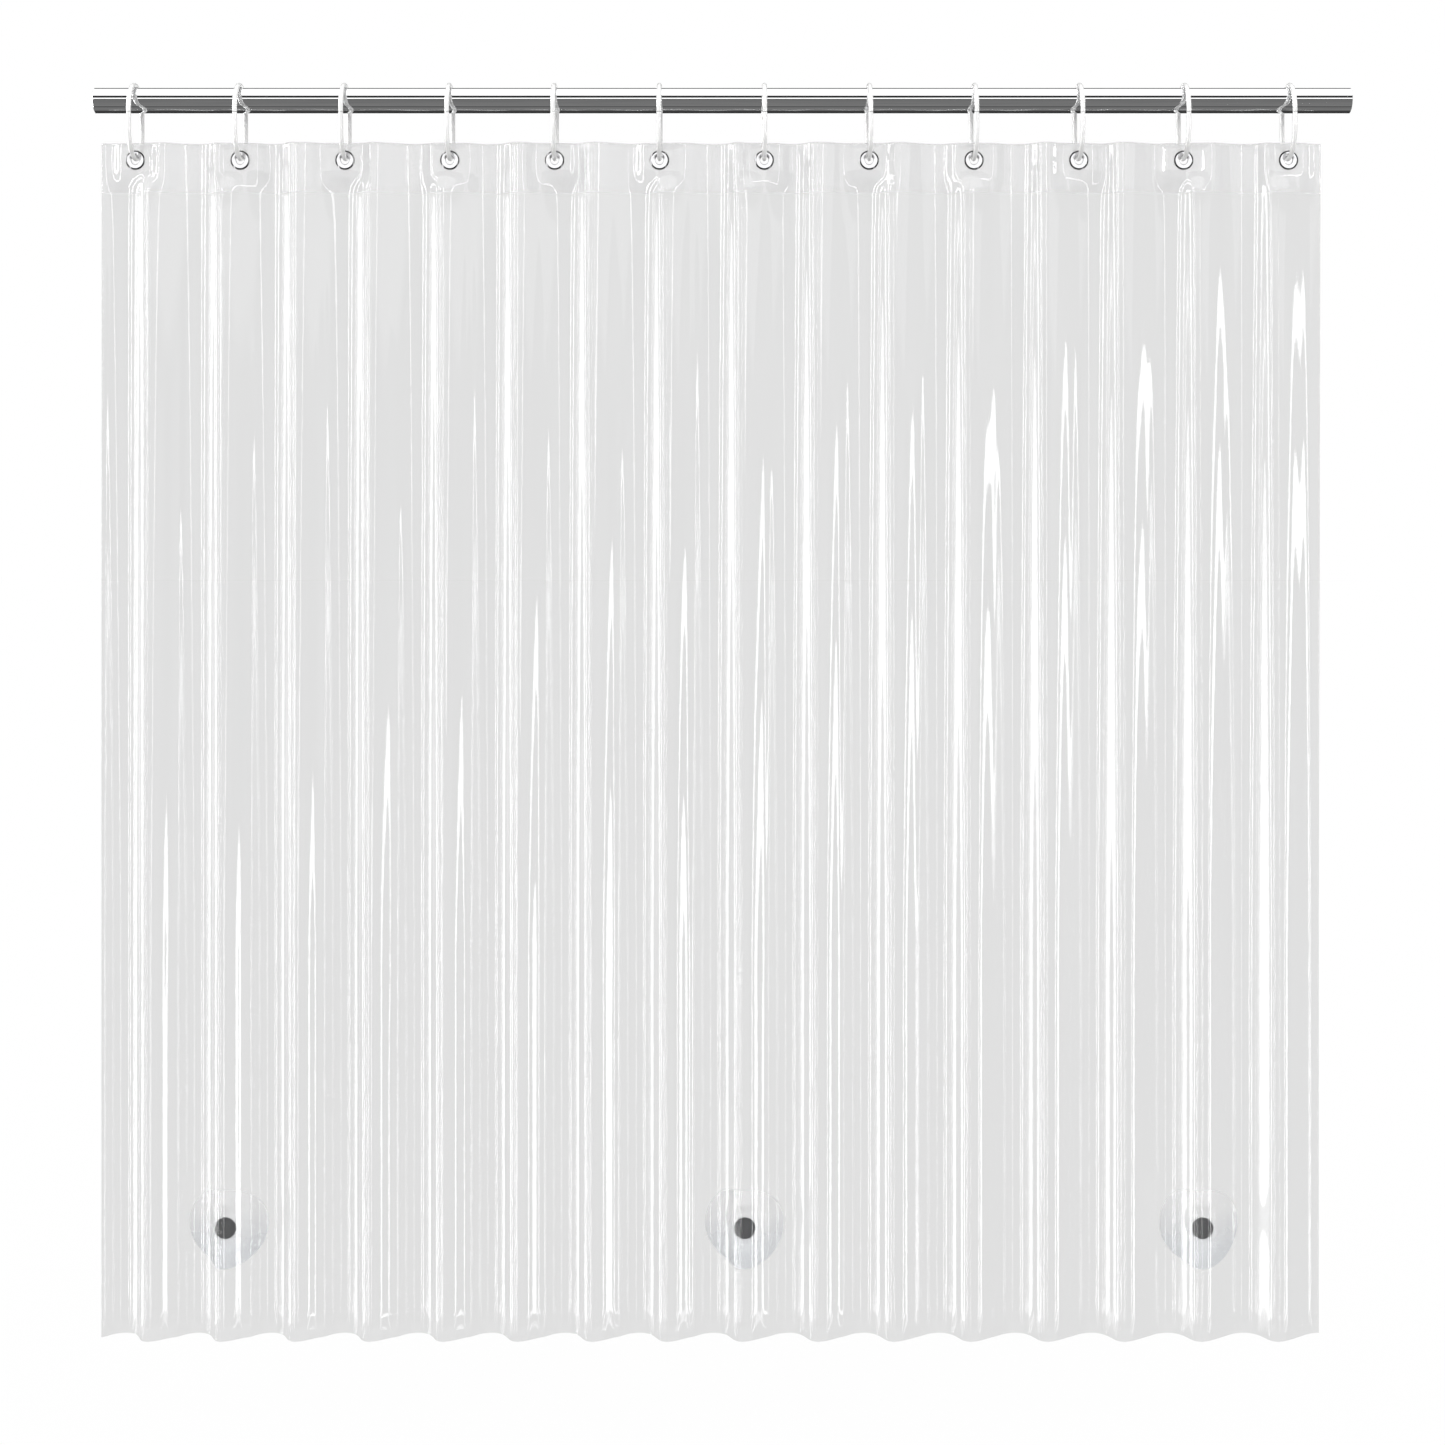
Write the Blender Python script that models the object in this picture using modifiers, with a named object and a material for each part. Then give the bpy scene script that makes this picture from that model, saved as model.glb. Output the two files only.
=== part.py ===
"""Shower curtain: a pleated clear film sheet with a welded header band, twelve two-part
eyelets, twelve C rings that clip shut, a chrome rod, and three hem magnets in round film pockets.

Frame: metres, +Z up, X along the rod, front of the curtain towards -Y.
Origin: on the rod's axis, half-way along the rod.
"""

import math

import bmesh
import bpy

# Rod: a plain drawn tube with cut ends.
ROD_DIAMETER = 0.038
ROD_WALL = 0.0012
ROD_PAST_LEFT_EDGE = 0.009
ROD_PAST_RIGHT_EDGE = 0.041

# Curtain sheet, as it hangs in its pleats.
CURTAIN_WIDTH = 1.840
CURTAIN_HEIGHT = 1.800
SHEET_THICKNESS = 0.00025
PLEAT_PITCH = 0.113
FIRST_CREST = 0.0715
PLEAT_DRIFT = 0.010
FOLD_BEFORE_CREST = 0.13
FOLD_SHARE = 0.30
FOLD_SHARPNESS = 0.65
PLEAT_DEPTH_TOP = 0.020
PLEAT_DEPTH_HEM = 0.042
PLEAT_GROWTH_HEIGHT = 1.200

# Header band: a strip welded along the top of the sheet.
HEADER_HEIGHT = 0.075
HEADER_THICKNESS = 0.00025

# Eyelets: a front part with a barrel, and a washer behind.
RING_COUNT = 12
EYELET_FROM_SIDE = 0.051
EYELET_BELOW_TOP = 0.026
EYELET_HOLE_DIAMETER = 0.0125
EYELET_BARREL_WALL = 0.0006
EYELET_FLANGE_DIAMETER = 0.029
EYELET_FLANGE_THICKNESS = 0.0008
EYELET_FLANGE_CHAMFER = 0.0003
EYELET_LIP_WIDTH = 0.00165
EYELET_LIP_THICKNESS = 0.0006
WASHER_DIAMETER = 0.027
WASHER_THICKNESS = 0.0007
EYELET_FLAT_MARGIN = 0.004
EYELET_FLAT_FADE = 0.030

# Hanger rings: oval C rings that clip shut with a half lap.
RING_HEIGHT = 0.117
RING_WIDTH = 0.090
RING_TUBE_DIAMETER = 0.007
SNAP_ABOVE_MIDDLE = 0.005
SNAP_LAP_LENGTH = 0.006
SNAP_SLOT_WIDTH = 0.0008

# Hem magnets and the round film pockets that hold them.
MAGNET_DIAMETER = 0.032
MAGNET_THICKNESS = 0.003
MAGNET_ABOVE_HEM = 0.167
MAGNET_FROM_SIDE = 0.184
MAGNET_PAST_CREST = 0.004
MIDDLE_MAGNET_PAST_CENTRE = 0.044
POCKET_DIAMETER = 0.119
POCKET_THICKNESS = 0.00025
POCKET_ROOM_PAST_MAGNET = 0.002
POCKET_BLEND = 0.022
POCKET_FILM_GAP = 0.0010

# Clearances.
SEAT_GAP = 0.0003
RING_IN_EYELET_GAP = 0.0005
FILM_GAP = 0.0006

# Fineness of the faceted shapes.
ROD_SIDES = 32
EYELET_SIDES = 16
MAGNET_SIDES = 24
POCKET_SIDES = 32
RING_ARC_STEPS = 12
RING_TUBE_BEVEL = 2
COLUMNS_PER_PLEAT = 10
LEAST_COLUMN = 0.004
PLACE_HALVINGS = 30
SEAM_MERGE = 0.00001

# Sizes that follow from the ones above.
ROD_LENGTH = ROD_PAST_LEFT_EDGE + CURTAIN_WIDTH + ROD_PAST_RIGHT_EDGE
ROD_RADIUS = ROD_DIAMETER / 2
LEFT_EDGE_X = ROD_PAST_LEFT_EDGE - ROD_LENGTH / 2
RING_TUBE_RADIUS = RING_TUBE_DIAMETER / 2
RING_ARC_RADIUS = (RING_WIDTH - RING_TUBE_DIAMETER) / 2
RING_TOP_Z = ROD_RADIUS + SEAT_GAP + RING_TUBE_RADIUS
RING_BOTTOM_Z = RING_TOP_Z - (RING_HEIGHT - RING_TUBE_DIAMETER)
EYELET_RADIUS = EYELET_HOLE_DIAMETER / 2
BARREL_RADIUS = EYELET_RADIUS + EYELET_BARREL_WALL
EYELET_Z = RING_BOTTOM_Z + RING_TUBE_RADIUS + RING_IN_EYELET_GAP - EYELET_RADIUS
TOP_EDGE_Z = EYELET_Z + EYELET_BELOW_TOP
HEM_Z = TOP_EDGE_Z - CURTAIN_HEIGHT
HEADER_OFFSET = (SHEET_THICKNESS + HEADER_THICKNESS) / 2 + FILM_GAP
POCKET_OFFSET = (SHEET_THICKNESS + POCKET_THICKNESS) / 2 + POCKET_FILM_GAP
EYELET_FLAT = EYELET_FLANGE_DIAMETER / 2 + EYELET_FLAT_MARGIN
MAGNET_Z = HEM_Z + MAGNET_ABOVE_HEM
MAGNET_RADIUS = MAGNET_DIAMETER / 2
EYELET_PITCH = (CURTAIN_WIDTH - 2 * EYELET_FROM_SIDE) / (RING_COUNT - 1)


# ---------------------------------------------------------------- scene and materials


def clear_scene():
    for old in list(bpy.data.objects):
        bpy.data.objects.remove(old, do_unlink=True)


def new_collection(name):
    collection = bpy.data.collections.new(name)
    bpy.context.scene.collection.children.link(collection)
    return collection


def plain_material(name, colour, roughness, metallic=0.0, alpha=1.0):
    material = bpy.data.materials.new(name)
    material.use_nodes = True
    shader = material.node_tree.nodes["Principled BSDF"]
    shader.inputs["Base Color"].default_value = (*colour, 1.0)
    shader.inputs["Roughness"].default_value = roughness
    shader.inputs["Metallic"].default_value = metallic
    shader.inputs["Alpha"].default_value = alpha
    material.diffuse_color = (*colour, alpha)
    return material


# ---------------------------------------------------------------- shape helpers


def add_part(name, mesh, material, parent=None):
    """A named object in the curtain's collection, with its own material."""
    part = bpy.data.objects.new(name, mesh)
    PARTS.objects.link(part)
    if material.name not in mesh.materials:
        mesh.materials.append(material)
    part.parent = parent
    return part


def add_axis(name, location, parent=None):
    """An empty on a joint's axis; its location is measured from its parent's."""
    axis = bpy.data.objects.new(name, None)
    axis.location = location
    axis.parent = parent
    PARTS.objects.link(axis)
    return axis


def add_cutter(name, mesh):
    cutter = bpy.data.objects.new(name, mesh)
    CUTTERS.objects.link(cutter)
    cutter.hide_render = True
    cutter.display_type = "WIRE"
    return cutter


def loop_profile(name, corners):
    """A closed outline of (radius, height) corners, ready for a Screw about Z."""
    mesh = bpy.data.meshes.new(name)
    edges = [(i, (i + 1) % len(corners)) for i in range(len(corners))]
    mesh.from_pydata([(radius, 0.0, height) for radius, height in corners], edges, [])
    return mesh


def turn(part, steps):
    screw = part.modifiers.new("turned", "SCREW")
    screw.axis = "Z"
    screw.angle = math.tau
    screw.steps = steps
    screw.render_steps = steps
    screw.use_merge_vertices = True
    screw.merge_threshold = SEAM_MERGE
    screw.use_smooth_shade = True


def thicken(part, thickness):
    """Both faces lie half the thickness from the modelled surface."""
    solidify = part.modifiers.new("film", "SOLIDIFY")
    solidify.thickness = thickness
    solidify.offset = 0.0


def cut(part, cutter, operation="DIFFERENCE"):
    boolean = part.modifiers.new(cutter.name, "BOOLEAN")
    boolean.operation = operation
    boolean.object = cutter
    boolean.solver = "EXACT"


def discs_along_y(name, centres, radius, half_depth, sides):
    """One mesh of closed cylinders whose axes run along Y, one at each (x, y, z) centre."""
    shape = bmesh.new()
    for centre in centres:
        made = bmesh.ops.create_cone(
            shape, cap_ends=True, segments=sides, radius1=radius, radius2=radius, depth=2 * half_depth
        )
        for vertex in made["verts"]:
            across, along, up = vertex.co
            vertex.co = (centre[0] + across, centre[1] - up, centre[2] + along)
    mesh = bpy.data.meshes.new(name)
    shape.to_mesh(mesh)
    shape.free()
    return mesh


def applied_mesh(part, name):
    """The part's shape with its modifiers or bevel applied, as a mesh of its own."""
    graph = bpy.context.evaluated_depsgraph_get()
    mesh = bpy.data.meshes.new_from_object(part.evaluated_get(graph), depsgraph=graph)
    mesh.name = name
    return mesh


# ---------------------------------------------------------------- the pleated surface


def fade(distance, flat, length):
    """1 up to flat, then an even fall to 0 over length."""
    past = min(max((abs(distance) - flat) / length, 0.0), 1.0)
    return (1.0 + math.cos(math.pi * past)) / 2


def pleat_drift(along):
    """How far the pleats wander sideways, at a distance from the left edge."""
    span = CURTAIN_WIDTH - 2 * MAGNET_FROM_SIDE
    return PLEAT_DRIFT * math.sin(math.pi * (along - MAGNET_FROM_SIDE) / span)


def fold_lead(pleats):
    """How far the pleat runs ahead of an even wave: it turns fast at the fold before its crest."""
    turn = math.tau * (pleats + FOLD_BEFORE_CREST)
    across = FOLD_SHARPNESS * math.sin(turn)
    return FOLD_SHARE * math.atan2(across, 1.0 - FOLD_SHARPNESS * math.cos(turn)) / math.pi


def pleats_before(along):
    """Pleats counted from the first crest to a distance from the left edge."""
    even = (along + pleat_drift(along) - FIRST_CREST) / PLEAT_PITCH
    return even + fold_lead(even) - fold_lead(0.0)


def along_at(pleats):
    """The distance from the left edge at which that many pleats have passed."""
    low, high = -PLEAT_PITCH, CURTAIN_WIDTH + PLEAT_PITCH
    for _ in range(PLACE_HALVINGS):
        middle = (low + high) / 2
        if pleats_before(middle) < pleats:
            low = middle
        else:
            high = middle
    return low


def pleat_depth(z):
    grown = min((TOP_EDGE_Z - z) / PLEAT_GROWTH_HEIGHT, 1.0)
    return PLEAT_DEPTH_TOP + (PLEAT_DEPTH_HEM - PLEAT_DEPTH_TOP) * grown


def film_y(along, z):
    """Depth of the sheet's middle: pleats, held flat on the rod's plane at each eyelet."""
    held = 0.0
    for eyelet in EYELETS_ALONG:
        across = fade(along - eyelet, EYELET_FLAT, EYELET_FLAT_FADE)
        held = max(held, across * fade(z - EYELET_Z, EYELET_FLAT, EYELET_FLAT_FADE))
    crest = -math.cos(math.tau * pleats_before(along)) * pleat_depth(z) / 2
    return crest * (1.0 - held)


def magnet_place(along):
    """Just past the crest nearest to a distance from the left edge, clear of its fold."""
    return along_at(round(pleats_before(along))) + MAGNET_PAST_CREST


def film_columns():
    """Column places: round each pleat, and on the edges of whatever lies flat on the sheet."""
    fixed = [0.0, CURTAIN_WIDTH]
    for eyelet in EYELETS_ALONG:
        fixed += [eyelet - EYELET_FLAT, eyelet + EYELET_FLAT]
    for magnet in MAGNETS_ALONG.values():
        fixed += [magnet - MAGNET_RADIUS, magnet, magnet + MAGNET_RADIUS]
    columns = list(fixed)
    first = math.ceil(pleats_before(0.0) * COLUMNS_PER_PLEAT)
    last = math.floor(pleats_before(CURTAIN_WIDTH) * COLUMNS_PER_PLEAT)
    for step in range(first, last + 1):
        along = along_at(step / COLUMNS_PER_PLEAT)
        on_flat = any(abs(along - eyelet) < EYELET_FLAT for eyelet in EYELETS_ALONG)
        crowded = any(abs(along - other) < LEAST_COLUMN for other in fixed)
        if not on_flat and not crowded:
            columns.append(along)
    return sorted(columns)


def film_mesh(name, columns, rows, y_at):
    """A triangulated grid over the column and row places, its depth given by y_at."""
    shape = bmesh.new()
    bmesh.ops.create_grid(
        shape, x_segments=len(columns) - 1, y_segments=len(rows) - 1, size=1.0
    )
    shape.verts.ensure_lookup_table()
    for vertex in shape.verts:
        column = round((vertex.co.x + 1.0) / 2 * (len(columns) - 1))
        row = round((vertex.co.y + 1.0) / 2 * (len(rows) - 1))
        along, z = columns[column], rows[row]
        vertex.co = (LEFT_EDGE_X + along, y_at(along, z), z)
    bmesh.ops.triangulate(shape, faces=shape.faces[:], quad_method="FIXED")
    mesh = bpy.data.meshes.new(name)
    shape.to_mesh(mesh)
    shape.free()
    return mesh


# ---------------------------------------------------------------- the pieces


def make_rod(material):
    half = ROD_LENGTH / 2
    bore = ROD_RADIUS - ROD_WALL
    profile = loop_profile(
        "rod", [(bore, half), (ROD_RADIUS, half), (ROD_RADIUS, -half), (bore, -half)]
    )
    rod = add_part("rod", profile, material)
    rod.rotation_euler = (0.0, math.pi / 2, 0.0)
    turn(rod, ROD_SIDES)


def make_eyelet_cutter():
    centres = [(LEFT_EDGE_X + along, 0.0, EYELET_Z) for along in EYELETS_ALONG]
    holes = discs_along_y(
        "eyelet_holes", centres, BARREL_RADIUS + SEAT_GAP, EYELET_FLAT, EYELET_SIDES
    )
    return add_cutter("eyelet_holes", holes)


def make_sheet(columns, holes, material, parent):
    rows = [
        HEM_Z,
        TOP_EDGE_Z - PLEAT_GROWTH_HEIGHT,
        TOP_EDGE_Z - HEADER_HEIGHT,
        EYELET_Z - EYELET_FLAT,
        EYELET_Z + EYELET_FLAT,
        TOP_EDGE_Z,
    ]
    mesh = film_mesh("curtain_sheet", columns, rows, film_y)
    sheet = add_part("curtain_sheet", mesh, material, parent)
    thicken(sheet, SHEET_THICKNESS)
    cut(sheet, holes)


def make_header_band(columns, holes, material, parent):
    """The band lies behind the sheet and ends with it along the top."""
    rows = [
        TOP_EDGE_Z - HEADER_HEIGHT,
        EYELET_Z - EYELET_FLAT,
        EYELET_Z + EYELET_FLAT,
        TOP_EDGE_Z,
    ]
    mesh = film_mesh(
        "header_band", columns, rows, lambda along, z: film_y(along, z) + HEADER_OFFSET
    )
    band = add_part("header_band", mesh, material, parent)
    thicken(band, HEADER_THICKNESS)
    cut(band, holes)


def eyelet_stack():
    """Depths of the eyelet's faces from the sheet's middle; forwards is positive."""
    flange_back = SHEET_THICKNESS / 2 + SEAT_GAP
    washer_front = -(HEADER_OFFSET + HEADER_THICKNESS / 2 + SEAT_GAP)
    washer_back = washer_front - WASHER_THICKNESS
    lip_front = washer_back - SEAT_GAP
    return flange_back, washer_front, washer_back, lip_front


def eyelet_profile():
    flange_back, _, _, lip_front = eyelet_stack()
    flange_front = flange_back + EYELET_FLANGE_THICKNESS
    lip_back = lip_front - EYELET_LIP_THICKNESS
    flange = EYELET_FLANGE_DIAMETER / 2
    lip = BARREL_RADIUS + EYELET_LIP_WIDTH
    return loop_profile(
        "grommet_eyelet",
        [
            (EYELET_RADIUS, flange_front),
            (flange - EYELET_FLANGE_CHAMFER, flange_front),
            (flange, flange_front - EYELET_FLANGE_CHAMFER),
            (flange, flange_back),
            (BARREL_RADIUS, flange_back),
            (BARREL_RADIUS, lip_front),
            (lip, lip_front),
            (lip, lip_back),
            (EYELET_RADIUS, lip_back),
        ],
    )


def washer_profile():
    _, front, back, _ = eyelet_stack()
    hole = BARREL_RADIUS + SEAT_GAP
    rim = WASHER_DIAMETER / 2
    return loop_profile("grommet_washer", [(hole, front), (rim, front), (rim, back), (hole, back)])


def ring_path():
    """The ring's centre line: a half circle over the rod, one under it, straight sides."""
    top = RING_TOP_Z - RING_ARC_RADIUS
    bottom = RING_BOTTOM_Z + RING_ARC_RADIUS
    points = []
    for middle, start in ((top, 0.0), (bottom, math.pi)):
        for step in range(RING_ARC_STEPS + 1):
            angle = start + math.pi * step / RING_ARC_STEPS
            y = RING_ARC_RADIUS * math.cos(angle)
            points.append((0.0, y, middle + RING_ARC_RADIUS * math.sin(angle)))
    return points


def snap_slot_mesh():
    """A Z-shaped slot through the front strand, which leaves two ends that lap by halves."""
    strand = -RING_ARC_RADIUS
    middle = (RING_TOP_Z + RING_BOTTOM_Z) / 2 + SNAP_ABOVE_MIDDLE
    reach = RING_TUBE_DIAMETER
    lap = SNAP_LAP_LENGTH / 2
    half = SNAP_SLOT_WIDTH / 2
    outline = [
        (strand - reach, middle + lap - half),
        (strand - half, middle + lap - half),
        (strand - half, middle - lap - half),
        (strand + reach, middle - lap - half),
        (strand + reach, middle - lap + half),
        (strand + half, middle - lap + half),
        (strand + half, middle + lap + half),
        (strand - reach, middle + lap + half),
    ]
    shape = bmesh.new()
    corners = [shape.verts.new((-reach, y, z)) for y, z in outline]
    face = shape.faces.new(corners)
    walls = bmesh.ops.extrude_face_region(shape, geom=[face])["geom"]
    moved = [item for item in walls if isinstance(item, bmesh.types.BMVert)]
    bmesh.ops.translate(shape, verts=moved, vec=(2 * reach, 0.0, 0.0))
    bmesh.ops.recalc_face_normals(shape, faces=shape.faces[:])
    mesh = bpy.data.meshes.new("snap_slot")
    shape.to_mesh(mesh)
    shape.free()
    return mesh


def ring_mesh():
    """A closed oval tube with the snap slot cut through it."""
    curve = bpy.data.curves.new("ring_path", "CURVE")
    curve.dimensions = "3D"
    curve.bevel_depth = RING_TUBE_RADIUS
    curve.bevel_resolution = RING_TUBE_BEVEL
    spline = curve.splines.new("POLY")
    path = ring_path()
    spline.points.add(len(path) - 1)
    for point, place in zip(spline.points, path):
        point.co = (*place, 1.0)
    spline.use_cyclic_u = True
    tube = bpy.data.objects.new("ring_tube", curve)
    CUTTERS.objects.link(tube)
    closed_ring = bpy.data.objects.new("closed_ring", applied_mesh(tube, "closed_ring"))
    CUTTERS.objects.link(closed_ring)
    bpy.data.objects.remove(tube)
    cut(closed_ring, add_cutter("snap_slot", snap_slot_mesh()))
    mesh = applied_mesh(closed_ring, "hanger_ring")
    bpy.data.objects.remove(closed_ring)
    mesh.shade_smooth()
    return mesh


def make_hangers(film_axis, materials):
    """Each ring with its eyelet and washer; from the second on, each slides along the rod."""
    ring_shape = ring_mesh()
    eyelet_shape = eyelet_profile()
    washer_shape = washer_profile()
    for number, along in enumerate(EYELETS_ALONG, start=1):
        label = f"{number:02d}"
        x = LEFT_EDGE_X + along
        slider = add_axis(f"slide_axis_{label}", (x, 0.0, 0.0), film_axis)
        add_part(f"hanger_ring_{label}", ring_shape, materials["ring"], slider)
        for name, shape in (("grommet_eyelet", eyelet_shape), ("grommet_washer", washer_shape)):
            turned = add_part(f"{name}_{label}", shape, materials[name], slider)
            turned.location = (0.0, 0.0, EYELET_Z)
            turned.rotation_euler = (math.pi / 2, 0.0, 0.0)
            turn(turned, EYELET_SIDES)


def magnet_faces(magnet):
    """Front and back of a magnet that sits inside a crest, its rim on the pleat's sides."""
    sides = [film_y(magnet + side * MAGNET_RADIUS, MAGNET_Z) for side in (-1, 1)]
    front = max(sides) + SHEET_THICKNESS + SEAT_GAP
    return front, front + MAGNET_THICKNESS


def make_magnet(label, magnet, material, parent):
    """The magnet turns about its right-hand rim when the pleats close."""
    front, back = magnet_faces(magnet)
    centre = (LEFT_EDGE_X + magnet, (front + back) / 2, MAGNET_Z)
    hinge = add_axis(f"turn_axis_{label}", (centre[0] + MAGNET_RADIUS, *centre[1:]), parent)
    mesh = discs_along_y(
        "hem_magnet", [(-MAGNET_RADIUS, 0.0, 0.0)], MAGNET_RADIUS, MAGNET_THICKNESS / 2, MAGNET_SIDES
    )
    add_part(f"hem_magnet_{label}", mesh, material, hinge)


def make_pocket(label, magnet, columns, material, parent):
    """A round patch behind the sheet that follows the pleat and goes round the magnet."""
    _, back = magnet_faces(magnet)
    plane = back + SEAT_GAP + POCKET_THICKNESS
    room = MAGNET_RADIUS + POCKET_ROOM_PAST_MAGNET
    reach = POCKET_DIAMETER / 2 + LEAST_COLUMN

    def pocket_y(along, z):
        resting = film_y(along, z) + POCKET_OFFSET
        pushed = max(plane - resting, 0.0) * fade(z - MAGNET_Z, room, POCKET_BLEND)
        return resting + pushed

    near = [along for along in columns if abs(along - magnet) < reach]
    left = max(along for along in columns if along <= magnet - reach)
    right = min(along for along in columns if along >= magnet + reach)
    offsets = [reach, room + POCKET_BLEND, room]
    rows = [MAGNET_Z - offset for offset in offsets]
    rows += [MAGNET_Z + offset for offset in reversed(offsets)]
    mesh = film_mesh(f"magnet_pocket_{label}", [left, *near, right], rows, pocket_y)
    pocket = add_part(f"magnet_pocket_{label}", mesh, material, parent)
    thicken(pocket, POCKET_THICKNESS)
    centre = (LEFT_EDGE_X + magnet, 0.0, MAGNET_Z)
    outline = discs_along_y(
        f"pocket_outline_{label}", [centre], POCKET_DIAMETER / 2, POCKET_DIAMETER, POCKET_SIDES
    )
    cut(pocket, add_cutter(f"pocket_outline_{label}", outline), "INTERSECT")


clear_scene()
PARTS = new_collection("shower_curtain")
CUTTERS = new_collection("cutters")
EYELETS_ALONG = [EYELET_FROM_SIDE + number * EYELET_PITCH for number in range(RING_COUNT)]
MAGNETS_ALONG = {
    "left": magnet_place(MAGNET_FROM_SIDE),
    "middle": magnet_place(CURTAIN_WIDTH / 2 + MIDDLE_MAGNET_PAST_CENTRE),
    "right": magnet_place(CURTAIN_WIDTH - MAGNET_FROM_SIDE),
}

chrome = plain_material("chrome", (0.78, 0.78, 0.79), 0.08, metallic=1.0)
film = plain_material("clear_film", (0.90, 0.90, 0.91), 0.15, alpha=0.45)
header_film = plain_material("header_film", (0.93, 0.93, 0.94), 0.2, alpha=0.6)
pocket_film = plain_material("pocket_film", (0.88, 0.90, 0.92), 0.1, alpha=0.4)
white_plastic = plain_material("white_plastic", (0.92, 0.92, 0.91), 0.25)
eyelet_metal = plain_material("eyelet_metal", (0.76, 0.76, 0.77), 0.12, metallic=1.0)
washer_metal = plain_material("washer_metal", (0.70, 0.70, 0.71), 0.2, metallic=1.0)
ferrite = plain_material("ferrite", (0.10, 0.10, 0.105), 0.5)

make_rod(chrome)
swing_axis = add_axis("swing_axis", (0.0, 0.0, 0.0))
hole_cutter = make_eyelet_cutter()
column_places = film_columns()
make_sheet(column_places, hole_cutter, film, swing_axis)
make_header_band(column_places, hole_cutter, header_film, swing_axis)
make_hangers(
    swing_axis,
    {"ring": white_plastic, "grommet_eyelet": eyelet_metal, "grommet_washer": washer_metal},
)
for side, place in MAGNETS_ALONG.items():
    make_magnet(side, place, ferrite, swing_axis)
    make_pocket(side, place, column_places, pocket_film, swing_axis)
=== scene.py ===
import math

import bmesh
import bpy
import numpy as np
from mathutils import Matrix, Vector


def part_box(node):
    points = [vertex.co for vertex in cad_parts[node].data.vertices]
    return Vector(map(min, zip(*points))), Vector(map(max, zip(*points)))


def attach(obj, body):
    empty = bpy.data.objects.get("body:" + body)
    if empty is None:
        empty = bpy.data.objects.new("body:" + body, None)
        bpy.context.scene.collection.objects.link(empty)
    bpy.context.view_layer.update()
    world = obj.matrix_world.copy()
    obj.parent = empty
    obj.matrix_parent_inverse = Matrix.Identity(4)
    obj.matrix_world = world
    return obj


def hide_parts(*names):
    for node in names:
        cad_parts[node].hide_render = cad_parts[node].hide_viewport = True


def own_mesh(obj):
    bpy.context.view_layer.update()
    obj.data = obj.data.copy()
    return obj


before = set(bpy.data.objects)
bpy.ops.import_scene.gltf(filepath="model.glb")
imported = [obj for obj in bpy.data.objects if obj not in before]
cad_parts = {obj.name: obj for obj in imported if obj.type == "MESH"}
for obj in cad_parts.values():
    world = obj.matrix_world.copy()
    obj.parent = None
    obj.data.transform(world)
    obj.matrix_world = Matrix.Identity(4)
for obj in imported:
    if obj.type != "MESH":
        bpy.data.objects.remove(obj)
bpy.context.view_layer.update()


# ---------------------------------------------------------------- curtain sheet
# One sheet of clear PVC film, 0.25 mm thick, hung in pleats. Each pleat turns fast at a fold
# on its left and runs out slowly on its right, and fine ripples left by the roll stand in it.
# The hem and sides are plain cut edges, and the film lies flat where an eyelet grips it.

SHEET_LOW, SHEET_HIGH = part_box("curtain_sheet")
LEFT_EDGE_X = SHEET_LOW.x
SHEET_WIDTH = SHEET_HIGH.x - SHEET_LOW.x
TOP_EDGE_Z = SHEET_HIGH.z
HEM_Z = SHEET_LOW.z
FILM_THICKNESS = 0.00025

PLEAT_PITCH = 0.113
FIRST_CREST = 0.0715
PLEAT_DRIFT = 0.010
DRIFT_FROM_SIDE = 0.184
FOLD_BEFORE_CREST = 0.13
FOLD_SHARE = 0.30
FOLD_SHARPNESS = 0.65
PLEAT_DEPTH_TOP = 0.020
PLEAT_DEPTH_HEM = 0.042
PLEAT_GROWTH_HEIGHT = 1.200

RING_COUNT = 12
EYELETS = [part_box(f"grommet_eyelet_{number:02d}") for number in range(1, RING_COUNT + 1)]
EYELET_XS = [(low.x + high.x) / 2 for low, high in EYELETS]
EYELET_Z = (EYELETS[0][0].z + EYELETS[0][1].z) / 2
FLANGE_RADIUS = (EYELETS[0][1].z - EYELETS[0][0].z) / 2
FLAT_PAST_FLANGE = 0.004
FLAT_ROUND_EYELET = FLANGE_RADIUS + FLAT_PAST_FLANGE
FLAT_FADE = 0.030
EYELET_HOLE_IN_FILM = 0.0075

SIDES = ("left", "middle", "right")
MAGNET_BOXES = {side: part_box(f"hem_magnet_{side}") for side in SIDES}
MAGNET_XS = {side: (low.x + high.x) / 2 for side, (low, high) in MAGNET_BOXES.items()}
MAGNET_Z = (MAGNET_BOXES["left"][0].z + MAGNET_BOXES["left"][1].z) / 2
MAGNET_RADIUS = (MAGNET_BOXES["left"][1].z - MAGNET_BOXES["left"][0].z) / 2
POCKET_LOW, POCKET_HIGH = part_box("magnet_pocket_left")
POCKET_RADIUS = (POCKET_HIGH.z - POCKET_LOW.z) / 2
SMOOTH_ROUND_MAGNET = 0.026
SMOOTH_FADE = 0.040

CREASE_PAST_CREST = 0.01
CREASE_HEIGHT = 0.0008
CREASE_WIDTH = 0.0014

# The side folds start at uneven heights, are narrowest there, and are steeper to the left.
SIDE_FOLD_PAST_CREST = 0.37
SIDE_FOLD_START = 0.30
SIDE_FOLD_START_SPREAD = 0.6
SIDE_FOLD_START_TURN = 2.4
SIDE_FOLD_START_PHASE = 0.7
SIDE_FOLD_GROWTH = 0.9
SIDE_FOLD_WIDTH = 0.0085
SIDE_FOLD_NARROWEST = 0.55
SIDE_FOLD_WIDENING = 0.45
SIDE_FOLD_OPENING = 0.3
SIDE_FOLD_AT_LEFT_EDGE = 0.55
SIDE_FOLD_AT_RIGHT_EDGE = 0.05

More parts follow.
